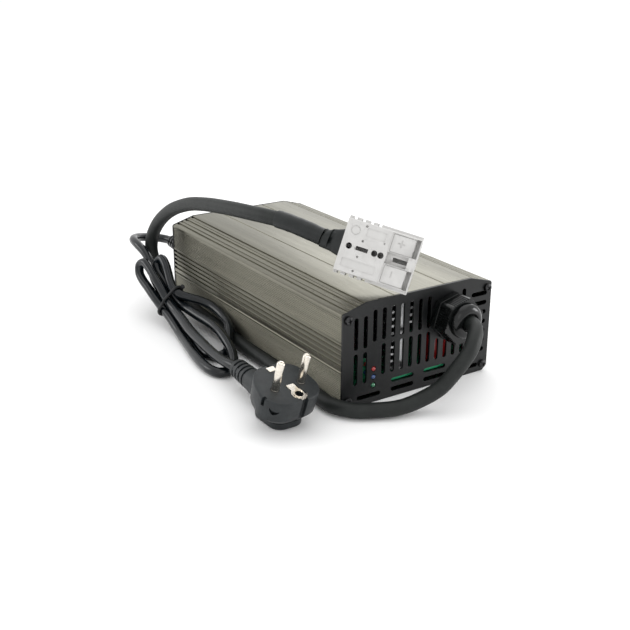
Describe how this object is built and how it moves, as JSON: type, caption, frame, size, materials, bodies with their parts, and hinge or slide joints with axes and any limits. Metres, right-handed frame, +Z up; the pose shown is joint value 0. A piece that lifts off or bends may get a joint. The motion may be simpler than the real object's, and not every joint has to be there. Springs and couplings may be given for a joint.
{
  "type": "battery charger",
  "caption": "Battery charger in a grey ribbed aluminium case with black vented end panels, a fan, an output cable with a grey two-pole connector and a mains cord with an earthed plug",
  "frame": {"origin": "bottom centre of the case, on the surface it stands on, leaving out the cables", "axes": "+Z up; +Y runs along the case from the vented front panel with the gland to the rear panel with the fan; +X to the right seen from the front"},
  "size_m": [0.1774, 0.3111, 0.1129],
  "materials": {
    "case_metal": "anodised, fine lengthwise ribs",
    "panel_black": "fine textured powder coat",
    "screw_steel": "blackened",
    "gland_nylon": "moulded",
    "fan_plastic": "moulded",
    "jacket": "smooth matt jacket",
    "heat_shrink": "shrunk sleeve",
    "plug_rubber": "moulded, matt",
    "nickel": "nickel plated, bright",
    "silver": "silver plated",
    "connector_plastic": "moulded, matt",
    "board": "solder mask",
    "sink_aluminium": "extruded",
    "capacitor_blue": "shrunk sleeve",
    "capacitor_red": "epoxy",
    "ferrite": "matt",
    "copper": "enamelled copper wire",
    "lamp_red": "clear tinted",
    "lamp_blue": "clear tinted",
    "lamp_green": "clear tinted",
    "fuse_glass": "glass tube with end caps"
  },
  "bodies": {
    "charger": {"circuit_board": "board", "connector_contact_negative": "silver", "connector_contact_positive": "silver", "connector_housing": "connector_plastic", "cord_strain_relief": "gland_nylon", "cord_tie": "gland_nylon", "dc_cable": "jacket", "dc_cable_sleeve": "heat_shrink", "dc_wire_negative": "heat_shrink", "dc_wire_positive": "heat_shrink", "fan_frame": "fan_plastic", "fan_screw_1": "screw_steel", "fan_screw_2": "screw_steel", "fan_screw_3": "screw_steel", "fan_screw_4": "screw_steel", "film_capacitor": "capacitor_red", "front_panel": "panel_black", "gland_body": "gland_nylon", "gland_dome_nut": "gland_nylon", "gland_locknut": "gland_nylon", "gland_seal": "jacket", "heat_sink_mains": "sink_aluminium", "heat_sink_output": "sink_aluminium", "led_blue": "lamp_blue", "led_board": "board", "led_green": "lamp_green", "led_red": "lamp_red", "lower_shell": "case_metal", "mains_capacitor": "gland_nylon", "mains_choke": "copper", "mains_cord_bundle": "jacket", "mains_cord_lead": "jacket", "mains_cord_tail": "jacket", "mains_fuse": "fuse_glass", "output_capacitor": "capacitor_blue", "panel_screw_front_1": "screw_steel", "panel_screw_front_2": "screw_steel", "panel_screw_front_3": "screw_steel", "panel_screw_front_4": "screw_steel", "panel_screw_rear_1": "screw_steel", "panel_screw_rear_2": "screw_steel", "panel_screw_rear_3": "screw_steel", "panel_screw_rear_4": "screw_steel", "plug_body": "plug_rubber", "plug_earth_clip": "nickel", "plug_earth_strip": "nickel", "plug_pin_left": "nickel", "plug_pin_right": "nickel", "rear_panel": "panel_black", "transformer_core": "ferrite", "transformer_winding": "copper", "upper_shell": "case_metal"},
    "fan": {"fan_rotor": "fan_plastic"}
  },
  "joints": [
    {"name": "fan_spin", "type": "hinge", "parent": "charger", "child": "fan", "pos_m": [0.008, 0.1019, 0.03325], "axis": [0, 1, 0], "continuous": true}
  ]
}
